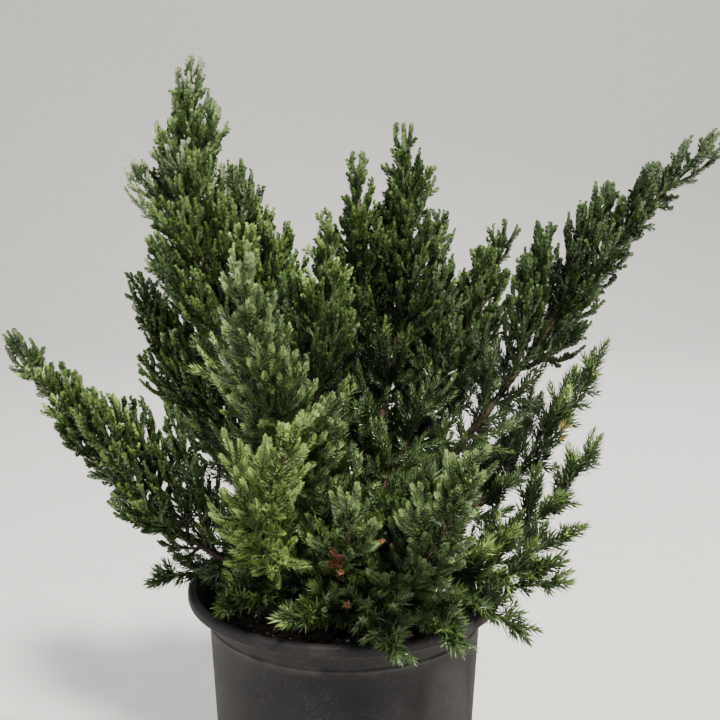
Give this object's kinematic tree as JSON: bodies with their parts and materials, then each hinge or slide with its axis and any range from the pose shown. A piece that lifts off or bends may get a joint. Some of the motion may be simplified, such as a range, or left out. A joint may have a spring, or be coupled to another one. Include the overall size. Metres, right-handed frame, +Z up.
{
  "type": "potted juniper shrub",
  "caption": "Informal spreading juniper with upswept plumes of scale and needle foliage on thin boughs, growing in a plain round black nursery pot.",
  "frame": {"origin": "centre of the pot's flat underside", "axes": "+Z up through the pot's axis, -Y towards the front of the shrub, +X along its longest arm"},
  "size_m": [0.3486, 0.326, 0.4281],
  "materials": {
    "pot": "satin, dusty",
    "soil": "rough bark mix",
    "bark": "flaking, dull",
    "foliage": "waxy needles"
  },
  "bodies": {
    "root": {"pot": "pot", "soil": "soil", "trunk": "bark", "bough_left_tall": "bark", "bough_left_tall_inner": "bark", "bough_left_mid": "bark", "bough_left_low": "bark", "bough_front_left": "bark", "bough_front_centre": "bark", "bough_centre": "bark", "bough_right_inner": "bark", "bough_right_long": "bark", "bough_right_mid": "bark", "bough_right_low": "bark", "bough_front_right": "bark", "bough_back_left_tall": "bark", "bough_back_centre": "bark", "bough_back_right_tall": "bark", "bough_back_right": "bark", "bough_back_far_left": "bark", "bough_back_low_left": "bark", "bough_back_low": "bark", "bough_back_low_right": "bark", "foliage_left_tall": "foliage", "foliage_left_tall_inner": "foliage", "foliage_left_mid": "foliage", "foliage_left_low": "foliage", "foliage_front_left": "foliage", "foliage_front_centre": "foliage", "foliage_centre": "foliage", "foliage_right_inner": "foliage", "foliage_right_long": "foliage", "foliage_right_mid": "foliage", "foliage_right_low": "foliage", "foliage_front_right": "foliage", "foliage_back_left_tall": "foliage", "foliage_back_centre": "foliage", "foliage_back_right_tall": "foliage", "foliage_back_right": "foliage", "foliage_back_far_left": "foliage", "foliage_back_low_left": "foliage", "foliage_back_low": "foliage", "foliage_back_low_right": "foliage", "foliage_left_front_inner": "foliage", "foliage_right_upright": "foliage", "foliage_centre_left": "foliage", "foliage_inner_left": "foliage", "foliage_front_low": "foliage", "foliage_front_right_inner": "foliage", "foliage_right_low_tip": "foliage", "foliage_right_fringe": "foliage", "foliage_right_front_low": "foliage", "foliage_right_hanging": "foliage", "foliage_front_rim": "foliage", "foliage_front_fringe_left": "foliage", "foliage_front_fringe_right": "foliage", "foliage_left_front_rim": "foliage", "foliage_left_rim": "foliage", "foliage_back_fringe": "foliage", "foliage_back_left_fringe": "foliage"}
  },
  "joints": []
}
